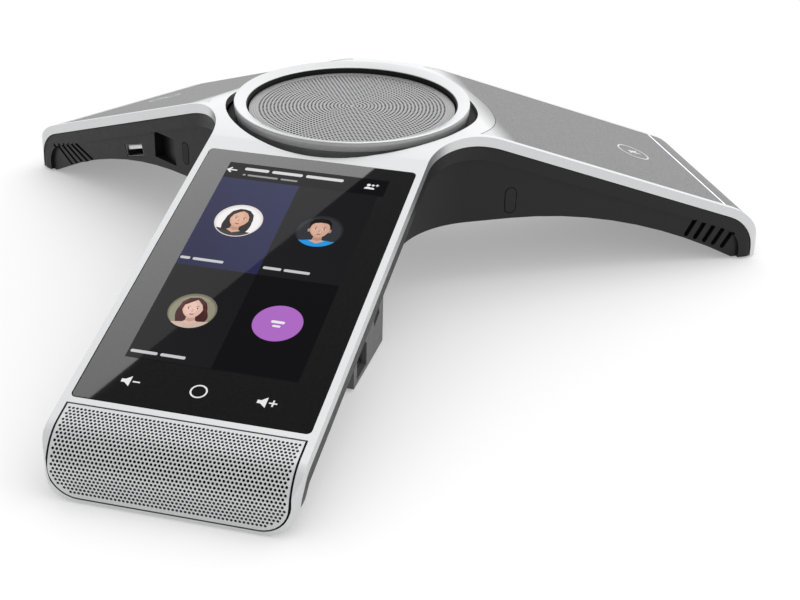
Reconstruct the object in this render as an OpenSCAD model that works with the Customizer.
// Three-armed tabletop conference phone: touch display on the front arm,
// loudspeaker in the middle, microphones and touch mute keys on all arms.
// Z is up, the table is z = 0, the display arm points to -Y.

/* [Outline] */
// Half of the width of each arm
arm_half_w = 44.8; // [42:0.1:48]
// Radius of the fillet in the notch between two arms
notch_r = 40; // [30:1:50]
// Distance from the loudspeaker axis to the end of the display arm
front_len = 210.5; // [208:0.5:214]
// Distance from the loudspeaker axis to the end of a side arm
side_len = 173.4; // [171:0.2:176]
// Corner radius of an arm end, seen from above
tip_r = 8; // [5:0.5:10]
// Radius of the lower corners of the display arm's end, seen from the front
end_r = 14; // [12:0.5:15]

/* [Heights] */
// Height of the flat middle of the frame
hub_z = 68.5; // [67:0.5:70]
// Fall of the side arms per unit of length
side_slope = 0.3785; // [0.37:0.0005:0.385]
// Fall of the display arm per unit of length
front_slope = 0.2811; // [0.275:0.0005:0.285]
// Height of the frame's visible side band
band_h = 4; // [3:0.25:5]
// Height of the dark rim under the side band
rim_h = 5.5; // [5:0.25:6]

/* [Underside] */
// Height of the flat underside of the middle
belly_z = 29.3; // [28:0.1:30]
// Distance from the axis at which a side arm's underside starts to fall
side_belly_r = 57; // [56.5:0.5:60]
// Distance from the axis at which a side arm's underside reaches its foot
side_foot_r = 161; // [159:0.5:162]
// Distance from the axis at which the display arm's underside starts to fall
front_belly_r = 84; // [80:1:88]
// Distance from the axis at which the display arm's underside reaches its foot
front_foot_r = 194; // [190:0.5:196]

/* [Display] */
// Width of the cover glass
glass_w = 84; // [82:0.5:85]
// Length of the cover glass along the slope
glass_l = 139.2; // [137:0.2:140]
// Thickness of the cover glass
glass_t = 1.1; // [0.8:0.1:1.5]

/* [Loudspeaker] */
// Outer radius of the loudspeaker's trim ring
ring_r = 49.25; // [48:0.25:50]
// Radius of the opening in the trim ring
mouth_r = 44.1; // [43:0.1:45]
// Height of the trim ring's edge above the table
ring_z = 70.6; // [70:0.1:72]

/* [Hidden] */
$fn = 64;

front_k = 80.26;                 // height of the display plane's line at r = 0
side_k = 84.8;                   // height of a side plane's line at r = 0
front_rho = 15;                  // radius of the display arm's rolled end
side_rho = 22;                   // radius of a side arm's rolled end
skin = 3;                        // thickness of the frame's top
wall = 2.6;                      // thickness of the frame's side band
shell = 2.2;                     // wall thickness of the lower housing
blend_k = 4;                     // size of the roll from hub to slope
hole_r = 52.7;                   // round opening of the frame
back_y = (side_len + 1 - tip_r) / 2 + (arm_half_w - tip_r) * cos(30) + tip_r;
ring_y = (front_len - back_y) / 2;
foot_z = 0.8;                    // underside of the arm ends, on the rubber feet
tilt_f = atan(front_slope);
tilt_s = atan(side_slope);
arms = [-90, 30, 150];
silver = [0.82, 0.83, 0.84];
dark = [0.17, 0.17, 0.18];

function smin(a, b, k) = let (h = max(k - abs(a - b), 0) / k) min(a, b) - h * h * k / 4;
function sec(s) = sqrt(1 + s * s);
// height of an arm's skin at distance r, lowered by d along its normal
function line_z(k, s, r, d) = k - s * r - d * sec(s);
function skin_z(k, s, r, d) = smin(hub_z - d, line_z(k, s, r, d), blend_k);
// centre of the rolled end
function end_cx(len, rho) = len - rho;
function end_cz(k, s, len, rho) = k - s * (len - rho) - rho * sec(s);

// all that lies above one arm's skin, as seen from its side
function cut_profile(k, s, len, rho, d) =
  let (t = atan(s), cx = end_cx(len, rho), cz = end_cz(k, s, len, rho),
       r0 = (k - hub_z) / s - blend_k / s - d * (sec(s) - 1) / s)
  concat([[r0 - 3, hub_z - d + 0.15]],
    [for (i = [0:7]) let (r = r0 + 2 + i * 2.5) [r, skin_z(k, s, r, d)]],
    [for (i = [0:8]) let (a = (90 - t) * (1 - i / 8))
       [cx + (rho - d) * cos(a), cz + (rho - d) * sin(a)]],
    [[len - d, -20], [len + 40, -20], [len + 40, 120], [r0 - 3, 120]]);

module side_on(a, w) { rotate([0, 0, a]) rotate([90, 0, 0]) linear_extrude(height = w, center = true) children(); }

module above_skin(d) {
  side_on(-90, 130) polygon(cut_profile(front_k, front_slope, front_len, front_rho, d));
  for (a = [30, 150]) side_on(a, 130)
    polygon(cut_profile(side_k, side_slope, side_len, side_rho, d));
}
// solid under the skin, inside a plan outline
module under_skin(d, z0 = 0) {
  difference() {
    translate([0, 0, z0]) linear_extrude(height = hub_z - d - z0) children();
    above_skin(d);
  }
}

module arm_plan(len, hw, rc) {
  translate([0, -hw]) square([len - rc, 2 * hw]);
  translate([0, -hw + rc]) square([len, 2 * (hw - rc)]);
  for (s = [-1, 1]) translate([len - rc, s * (hw - rc)]) circle(rc);
}
// plan of the whole phone, drawn in by i; the display arm by f
module plan(i = 0, f = 0) {
  hw = arm_half_w - i;
  fw = hw - f;
  rn = notch_r + i;
  rf = notch_r + i - (f > 0 ? 2 : 0);
  rc = max(tip_r - i, 1.5);
  // fillet centres: back notch, and the notch right of the display arm
  cb = (hw + rn) / sin(60);
  cf = [fw + rf, ((fw + rf) / 2 - hw - rf) / cos(30)];
  for (a = [30, 150]) rotate(a) arm_plan(side_len + 1 - i, hw, rc);
  rotate(-90) arm_plan(front_len + 1 - i, fw, rc);
  circle(min(54 - i, f > 0 ? 48 - i : 54));
  difference() {
    polygon([[0, 3], [rn / 2, cb - rn * cos(30)], [0, cb], [-rn / 2, cb - rn * cos(30)]]);
    translate([0, cb]) circle(rn);
  }
  for (s = [0, 1]) mirror([s, 0]) difference() {
    polygon([[1, 2], [1, cf[1]], [cf[0], cf[1]], [cf[0] - rf / 2, cf[1] + rf * cos(30)]]);
    translate([cf[0], cf[1]]) circle(rf);
  }
}

module place() { translate([0, ring_y, 0]) children(); }
// tilted frames that lie on the skin
module on_front(r = 55) { translate([0, -r, line_z(front_k, front_slope, r, 0)]) rotate([tilt_f, 0, 0]) children(); }
module on_side(a, r) { rotate([0, 0, a]) translate([r, 0, line_z(side_k, side_slope, r, 0)]) rotate([0, tilt_s, 0]) children(); }

module round_rect(w, l, r) {
  translate([-w / 2, -l + r]) square([w, l - 2 * r]);
  translate([-w / 2 + r, -l]) square([w - 2 * r, l]);
  for (x = [-1, 1], y = [-r, -l + r]) translate([x * (w / 2 - r), y]) circle(r);
}
// front view of the front grille's opening, with round lower corners
module front_view(hw, z0, r) {
  rotate([90, 0, 0]) linear_extrude(height = 300) {
    translate([-hw, z0 + r]) square([2 * hw, 90]);
    translate([-hw + r, z0]) square([2 * (hw - r), 90]);
    for (s = [-1, 1]) translate([s * (hw - r), z0 + r]) circle(r);
  }
}

// what the round lower corners of the display arm's end leave out
module end_corners(hw, z0, r) {
  difference() {
    translate([-60, -250, -10]) cube([120, 60, 42]);
    front_view(hw, z0, r);
  }
}

module side_recess(a, d, r_in, c = 0) {
  difference() {
    rotate([0, 0, a]) translate([20, -42 + c, 0]) cube([200, 84 - 2 * c, 100]);
    translate([0, 0, -1]) cylinder(r = r_in + c, h = 110, $fn = 96);
    difference() {
      translate([0, 0, -30]) linear_extrude(height = 100) circle(260);
      rotate([0, 0, a]) translate([0, 0, -40]) rotate([90, 0, 0]) linear_extrude(height = 200, center = true)
        translate([0, 40]) polygon(cut_profile(side_k, side_slope, side_len, side_rho, d));
    }
  }
}

module top_frame() color(silver) place() difference() {
  under_skin(0, 0.6) plan(0);
  // hollow inside, and everything under the band
  difference() {
    translate([0, 0, -5]) linear_extrude(height = hub_z - skin + 5) plan(wall);
    above_skin(skin);
  }
  difference() {
    translate([0, 0, -5]) linear_extrude(height = hub_z - band_h + 5) circle(260);
    above_skin(band_h);
  }
  // loudspeaker opening
  translate([0, 0, 50]) cylinder(r = hole_r, h = 30, $fn = 128);
  // display window and its ledge
  on_front() translate([0, 0, -glass_t - 0.3]) linear_extrude(height = 20) round_rect(glass_w + 0.3, glass_l + 0.3, 2);
  on_front() translate([0, -3, -20]) linear_extrude(height = 30) round_rect(glass_w - 8, glass_l - 8, 2);
  // front grille opening
  intersection() {
    front_view(42.1, 1.6, 11);
    translate([-60, -260, -10]) cube([120, 260 - 191.7, 100]);
  }
  end_corners(arm_half_w, 0, end_r);
  // shallow seats of the side panels, end caps and light bars
  for (a = [30, 150]) side_recess(a, 1.7, 60);
}

module housing_walls(i, f, zf) {
  intersection() {
    under_skin(band_h + 0.4, 0.8) plan(i, f);
    above_belly(zf);
  }
}
// underside of an arm, seen from its side: it rises by up as far as r0, then
// follows a parabola down to the foot at rf, and is flat again; all raised by z
function belly(r0, rf, z, up = 0, n = 9) = concat(
  [for (i = [0:n]) let (t = i / n) [r0 + (rf - r0) * t, belly_z + up - (belly_z + up - foot_z) * t * t + z]],
  [[240, foot_z + z], [240, -20], [0, -20], [0, belly_z + z]]);
module above_belly(z) {
  difference() {
    translate([0, 0, 0.8 + z]) linear_extrude(height = 80) circle(260);
    side_on(-90, 130) polygon(belly(front_belly_r, front_foot_r, z));
    for (a = [30, 150]) side_on(a, 130) polygon(belly(side_belly_r, side_foot_r, z, 0.1));
  }
}

module slot(l, w, h) { translate([0, 0, -h / 2]) linear_extrude(height = h) { square([l - w, w], center = true); for (s = [-1, 1]) translate([s * (l - w) / 2, 0]) circle(w / 2, $fn = 24); } }
// a wall-side frame: x along the arm, y up, z out of the front wall
module on_wall(a, r, z, s) { rotate([0, 0, a]) translate([r, s * (arm_half_w - 2), z]) rotate([90, 0, 0]) children(); }

module lower_housing() color(dark) place() difference() {
  union() {
    difference() {
      union() {
        housing_walls(2, 8, 0);
        // outer rim right under the band
        difference() {
          under_skin(band_h + 0.4, 0.8) plan(0.5);
          difference() {
            translate([0, 0, -5]) linear_extrude(height = hub_z - band_h - 0.4 - rim_h + 5) circle(260);
            above_skin(band_h + 0.4 + rim_h);
          }
        }
      }
      // cavity
      intersection() {
        translate([0, 0, 0.8]) linear_extrude(height = 80) plan(2 + shell, 8);
        above_belly(shell);
      }
      // wide upper cavity inside the rim
      difference() {
        translate([0, 0, 3]) linear_extrude(height = 90) plan(0.5 + shell);
        difference() {
          translate([0, 0, -5]) linear_extrude(height = hub_z - band_h - rim_h + 1.5 + 5) circle(260);
          above_skin(band_h + rim_h - 1.5);
        }
        end_corners(arm_half_w - 0.5 - shell, 3, end_r - 2.4);
      }
    }
    // finger recess pocket behind the socket wall
    recess_box(1.8, false);
    // bosses for the frame screws
    intersection() {
      above_belly(1);
      for (p = boss_at) translate([p[0], p[1], p[2]]) difference() { cylinder(r = 3.2, h = p[3]); translate([0, 0, -1]) cylinder(r = 1.2, h = p[3] + 2); }
    }
  }
  recess_box(0, true);
  end_corners(arm_half_w - 0.5, 0, end_r - 0.3);
  // base block bay
  translate([-36, -115.3, -1]) cube([72, 40.6, 60]);
  // socket and vents in the walls of the side arms
  on_wall(150, 96.5, 30.3, 1) rotate([0, 0, -19]) translate([-6.75, -2.95, -4]) cube([13.5, 5.9, 19]);
  for (i = [0:4]) on_wall(30, 140 + i * 4.5, 16.9 - i * 1.88, -1) rotate([0, 0, 62 - i]) slot(9, 2.2, 9);
  for (i = [0:4]) on_wall(150, 136 + i * 4.2, 17.4 - i * 1.6, 1) rotate([0, 0, 18 + i * 3]) slot(16.4, 1.4, 9);
  // oval openings of the side ports
  on_wall(30, 57, 37.4, -1) scale_oval(5.8, 2.6, 9);
  on_wall(150, 59, 40, 1) scale_oval(5.2, 2.3, 9);
  // access hole of the reset button in the flat belly
  translate([12, -62, 25]) cylinder(r = 1.6, h = 10, $fn = 32);
}
module scale_oval(a, b, h) { rotate([0, 0, 90]) slot(2 * a, 2 * b, h); }
boss_at = [[50, 63.5, 26.5, 23], [-50, 63.5, 26.5, 23], [80, 11.5, 26.5, 23], [-80, 11.5, 26.5, 23], [28, -175, 8, 15], [-28, -175, 8, 15]];
// tapering finger recess in the front wall of the left arm
module recess_box(g, cut) {
  rotate([0, 0, 150]) translate([0, 0, 32 - g]) linear_extrude(height = 12 + 2 * g)
    polygon([[66 - 2 * g, arm_half_w - 2 + (cut ? 3 : -1.0)], [66 - 2 * g, arm_half_w - 2.8], [81 + g, arm_half_w - 7 - g], [81 + g, arm_half_w - 2 + (cut ? 3 : -1.0)]]);
}

// sloping slot for a security lock in the right face of the block
module lock_opening(l, w) { translate([30, -84.35, 15.8]) rotate([20.6, 0, 0]) translate([0, -l / 2, -w / 2]) cube([8, l, w]); }
module base_block() color([0.42, 0.42, 0.43]) place() difference() {
  difference() {
    translate([-35, -115, 0.8]) cube([70, 40, 60]);
    difference() {
      translate([0, 0, 0.8]) linear_extrude(height = 100) circle(260);
      difference() {
        translate([0, 0, 0]) linear_extrude(height = hub_z - 10) circle(260);
        above_skin(band_h + 0.4 + rim_h);
      }
    }
  }
  translate([-32.8, -112.8, 3]) cube([65.6, 35.6, 60]);
  // arched cable opening and the lock slot
  translate([30, -104.5, 2.6]) rotate([90, 0, 90]) linear_extrude(height = 8) { translate([-6.5, 0]) square([13, 7]); intersection() { translate([0, 3]) circle(8.9); translate([-6.5, 6]) square([13, 8]); } }
  lock_opening(7.4, 3.2);
  // clearance for the main board above the front and rear walls
  on_front() translate([-32.2, -75, -14.2]) cube([64.4, 75, 40]);
  // hole of the cable cover's screw
  translate([0, -95, -1]) cylinder(r = 1.5, h = 6, $fn = 32);
}

module display_glass() color([0.03, 0.03, 0.035]) place()
  on_front() translate([0, -0.15, -glass_t - 0.1]) linear_extrude(height = glass_t) round_rect(glass_w, glass_l, 2);
module lcd_panel() color([0.1, 0.1, 0.14]) place()
  on_front() translate([0, -5.4, -glass_t - 2.5]) linear_extrude(height = 2.3) round_rect(65, 117, 0.8);
module lcd_bracket() color([0.6, 0.6, 0.62]) place() difference() {
  on_front() translate([0, -4.5, -glass_t - 4.1]) linear_extrude(height = 1.5) round_rect(72, 128, 3);
  for (y = [-30, -62, -94]) on_front() translate([0, y, -8]) linear_extrude(height = 10) square([36, 18], center = true);
  for (x = [-32, 32], y = [-12, -124]) on_front() translate([x, y, -8]) cylinder(r = 1.3, h = 10, $fn = 32);
}
module display_flex() color([0.7, 0.45, 0.15]) place()
  on_front() translate([-8, -108, -11.4]) cube([16, 3, 6.2]);

module front_grille() color([0.72, 0.73, 0.74]) place() grille_skin(0.1, 0.9, 41.8, 0);
module front_grille_cloth() color([0.05, 0.05, 0.05]) place() grille_skin(1.05, 0.4, 40.5, 1.2);
module grille_skin(d, t, hw, e) {
  difference() {
    intersection() {
      front_view(hw, 2 + e, 10.6 - e);
      difference() {
        translate([-60, -212, 0]) cube([120, 212 - 192 - e, 60]);
        side_on(-90, 130) polygon(cut_profile(front_k, front_slope, front_len, front_rho, d));
      }
    }
    difference() {
      translate([-60, -260, -10]) cube([120, 100, 80]);
      side_on(-90, 130) polygon(cut_profile(front_k, front_slope, front_len, front_rho, d + t));
    }
  }
}

// a skin piece that lies in the shallow seat of a side arm, from r0 to r1
module arm_skin(a, r0, r1, d, t, arc = false) {
  difference() {
    intersection() {
      rotate([0, 0, a]) translate([r0, -41.8, 0.7]) cube([r1 - r0, 83.6, 80]);
      translate([0, 0, -1]) linear_extrude(height = 100) plan(0.1);
      difference() {
        translate([0, 0, 0.7]) linear_extrude(height = hub_z - d - 0.7) circle(260);
        side_on(a, 130) polygon(cut_profile(side_k, side_slope, side_len, side_rho, d));
      }
    }
    difference() {
      translate([0, 0, -5]) linear_extrude(height = hub_z - d - t + 5) circle(260);
      side_on(a, 130) polygon(cut_profile(side_k, side_slope, side_len, side_rho, d + t));
    }
    if (arc) translate([0, 0, -5]) cylinder(r = 60.2, h = 90, $fn = 96);
    if (arc) on_side(a, 129.4) translate([0, 0, -3]) cylinder(r = 0.6, h = 6, $fn = 24);
  }
}
module right_arm_panel() color([0.55, 0.55, 0.56]) place() arm_skin(30, 40, 155.1, 0.05, 1.5, true);
module left_arm_panel() color([0.55, 0.55, 0.56]) place() arm_skin(150, 40, 155.1, 0.05, 1.5, true);
module right_end_cap() color([0.5, 0.5, 0.51]) place() arm_skin(30, 156.1, 176, 0.05, 1.5);
module left_end_cap() color([0.5, 0.5, 0.51]) place() arm_skin(150, 156.1, 176, 0.05, 1.5);
module right_led_bar() color([0.95, 0.96, 0.98]) place() arm_skin(30, 155.15, 156.05, 0, 1.55);
module left_led_bar() color([0.95, 0.96, 0.98]) place() arm_skin(150, 155.15, 156.05, 0, 1.55);
// touch and light boards under the skin of the side arms
module touch_board(a) difference() {
  on_side(a, 140) translate([-19, -30, -5.2]) cube([36, 60, 1.6]);
  for (s = [-1, 1]) on_side(a, 140) translate([-14, s * 26, -7]) cylinder(r = 1.3, h = 6, $fn = 32);
}
module right_touch_board() color([0.1, 0.35, 0.2]) place() touch_board(30);
module left_touch_board() color([0.1, 0.35, 0.2]) place() touch_board(150);

module speaker_ring() color(silver) place() rotate_extrude($fn = 128)
  polygon([[mouth_r, ring_z - 1.5], [ring_r - 0.35, ring_z], [ring_r, ring_z - 0.3], [ring_r, ring_z - 0.9],
    [ring_r - 0.8, ring_z - 4.4], [ring_r - 1.2, 62.2], [mouth_r, 62.2]]);
module speaker_grille() color([0.35, 0.35, 0.36]) place() rotate_extrude($fn = 128)
  polygon(concat([[0, 66.4], [0, 67.6]],
    [for (i = [1:8]) for (k = [0, 1]) [i * 5 - 0.9 + k * 0.9, 67.6 - k * 0.5 - i * 0.06]],
    [[41.5, 66.6], [43.5, 66.6], [43.5, 62.8], [42.7, 62.8], [42.7, 65.4], [41, 65.8]]));
module speaker_gasket() color([0.06, 0.06, 0.06]) place() difference() {
  translate([0, 0, 62.2]) cylinder(r = 52.4, h = 1.0, $fn = 128);
  translate([0, 0, 60]) cylinder(r = ring_r - 1.0, h = 6, $fn = 128);
}
module speaker_basket() color([0.3, 0.3, 0.32]) place() difference() {
  rotate_extrude($fn = 96) polygon([[47.5, 62.1], [47.5, 60.3], [40.5, 60.3], [33, 47.3], [31, 45.2], [16, 45.2],
    [16, 47.1], [31.6, 49.1], [38.5, 60.9], [38.5, 62.1]]);
  for (a = [0:60:300]) rotate([0, 0, a + 30]) translate([20, -6, 40]) cube([16, 12, 16]);
  for (a = [45:90:315]) rotate([0, 0, a]) translate([44.5, 0, 58]) cylinder(r = 1.4, h = 8, $fn = 32);
}
module speaker_surround() color([0.05, 0.05, 0.05]) place() rotate_extrude($fn = 96)
  polygon([[43.9, 62.15], [43.9, 62.75], [40, 62.75], [38.8, 64.0], [37.3, 64.3], [35.9, 63.6], [35.6, 62.4], [36.2, 62.4], [36.5, 63.2], [37.4, 63.6], [38.4, 63.4], [39.6, 62.15]]);
module speaker_cone() color([0.09, 0.09, 0.1]) place() rotate_extrude($fn = 96)
  polygon([[0, 54.6], [9, 53.2], [12.3, 51.6], [12.3, 42.6], [13.1, 42.6], [13.1, 51.3], [35.1, 60.9], [35.1, 61.5], [13.5, 52.2], [9.2, 54.2], [0, 55.8]]);
module speaker_magnet() color([0.25, 0.25, 0.27]) place() rotate_extrude($fn = 96)
  polygon([[0, 36.2], [27, 36.2], [30, 38], [30, 45.2], [14.8, 45.2], [14.8, 40], [11.4, 40], [11.4, 46.4], [0, 46.4]]);
module speaker_chamber() color([0.12, 0.12, 0.13]) place() difference() {
  translate([0, 0, 31.7]) cylinder(r = 48.8, h = 30.3, $fn = 96);
  translate([0, 0, 33.3]) cylinder(r = 47.3, h = 26.9, $fn = 96);
  translate([0, 0, 50]) cylinder(r = 47.6, h = 20, $fn = 96);
}
module speaker_lead() color([0.7, 0.1, 0.1]) place() {
  for (s = [-1, 1]) translate([s * 2, -49.0, 40]) rotate([90, 0, 0]) cylinder(r = 0.7, h = 26, $fn = 24);
}

module main_board() color([0.08, 0.32, 0.18]) place() difference() {
  on_front() translate([-31, -112, -13]) cube([62, 104, 1.6]);
  for (x = [-28, 28], y = [-12, -108]) on_front() translate([x, y, -16]) cylinder(r = 1.4, h = 6, $fn = 32);
}
module board_shield() color([0.75, 0.75, 0.77]) place() difference() {
  on_front() translate([-18, -84, -11.4]) cube([36, 44, 3]);
  on_front() translate([-17.5, -83.5, -11.5]) cube([35, 43, 2.6]);
}
module ethernet_jack() color([0.6, 0.61, 0.63]) place() difference() {
  translate([14.5, -112.4, 3]) cube([18.2, 16, 13.6]);
  translate([19, -110.5, 4.6]) cube([20, 12, 8.2]);
  translate([21, -107.8, 12]) cube([20, 6.6, 3.2]);
}
module usb_socket() color([0.75, 0.75, 0.77]) place() difference() {
  on_wall(150, 96.5, 30.3, 1) rotate([0, 0, -19]) translate([-6.55, -2.75, 0.2]) cube([13.1, 5.5, 14]);
  on_wall(150, 96.5, 30.3, 1) rotate([0, 0, -19]) translate([-6.2, -2.4, -1]) cube([12.4, 4.8, 14.6]);
}
module usb_tongue() color([0.9, 0.9, 0.9]) place()
  on_wall(150, 96.5, 30.3, 1) rotate([0, 0, -19]) translate([-5.8, 0.3, 1.2]) cube([11.6, 1.8, 12.4]);
module side_port_plugs() color([0.13, 0.13, 0.14]) place() {
  on_wall(30, 57, 37.4, -1) translate([0, 0, -0.9]) scale_oval(5.6, 2.4, 2.2);
  on_wall(150, 59, 40, 1) translate([0, 0, 0.9]) scale_oval(5.0, 2.1, 2.2);
}
module lock_slot_plate() color([0.55, 0.55, 0.57]) place() difference() {
  translate([31.4, -90.5, 8.6]) cube([1.3, 13, 14]);
  lock_opening(7.2, 3);
}
module reset_button() color([0.2, 0.2, 0.21]) place() {
  translate([12, -62, 29.9]) cylinder(r = 1.3, h = 1.7, $fn = 32);
}

module microphone_boards() color([0.1, 0.35, 0.2]) place() {
  for (a = [30, 150]) on_side(a, 108) translate([-6, -7, -8.4]) cube([12, 14, 1.2]);
  on_front(180) translate([-7, -6, -10.4]) cube([14, 12, 1.2]);
}
module microphone_boots() color([0.05, 0.05, 0.05]) place() {
  for (a = [30, 150]) on_side(a, 108) translate([0, 0, -7.2]) cylinder(r = 4, h = 4.1, $fn = 32);
  on_front(180) translate([0, 0, -9.2]) cylinder(r = 4, h = 3.4, $fn = 32);
}
module radio_antennas() color([0.75, 0.6, 0.25]) place() {
  for (s = [-1, 1]) rotate([0, 0, 90 + s * 60]) translate([84, -38, 30]) cube([26, 0.5, 8]);
}
module vent_screens() color([0.04, 0.04, 0.04]) place() {
  intersection() {
    above_belly(2.4);
    union() {
      on_wall(30, 149, 13.3, -1) rotate([0, 0, -20.5]) translate([-14, -6.5, -2.8]) cube([28, 12.5, 0.5]);
      on_wall(150, 143, 14.5, 1) rotate([0, 0, -18]) translate([-17, -6.5, 2.3]) cube([32, 11, 0.5]);
    }
  }
}
module rubber_feet() color([0.05, 0.05, 0.05]) place() {
  for (a = [30, 150]) for (s = [-1, 1]) rotate([0, 0, a]) translate([165, s * 24, 0]) cylinder(r = 3.8, h = foot_z);
  for (s = [-1, 1]) translate([s * 24, -201, 0]) cylinder(r = 4, h = 0.8);
}
module housing_screws() color([0.6, 0.6, 0.62]) place() {
  for (p = boss_at) translate([p[0], p[1], p[2] + p[3] - 7.6]) { cylinder(r = 1.15, h = 7.6, $fn = 32); translate([0, 0, 7.6]) cylinder(r = 2.2, h = 1.4, $fn = 32); }
}
module board_screws() color([0.6, 0.6, 0.62]) place() {
  for (x = [-28, 28], y = [-12, -108]) on_front() translate([x, y, -13.4]) { cylinder(r = 1.3, h = 2, $fn = 32); translate([0, 0, 2]) cylinder(r = 2.2, h = 1.2, $fn = 32); }
}
module label_plate() color([0.75, 0.75, 0.75]) place()
  translate([-20, -20, belly_z - 0.3]) cube([40, 26, 0.3]);

top_frame();
lower_housing();
base_block();
display_glass();
lcd_panel();
lcd_bracket();
display_flex();
front_grille();
front_grille_cloth();
right_arm_panel();
left_arm_panel();
right_end_cap();
left_end_cap();
right_led_bar();
left_led_bar();
right_touch_board();
left_touch_board();
speaker_ring();
speaker_grille();
speaker_gasket();
speaker_basket();
speaker_surround();
speaker_cone();
speaker_magnet();
speaker_chamber();
speaker_lead();
main_board();
board_shield();
ethernet_jack();
usb_socket();
usb_tongue();
side_port_plugs();
lock_slot_plate();
reset_button();
microphone_boards();
microphone_boots();
radio_antennas();
vent_screens();
rubber_feet();
housing_screws();
board_screws();
label_plate();
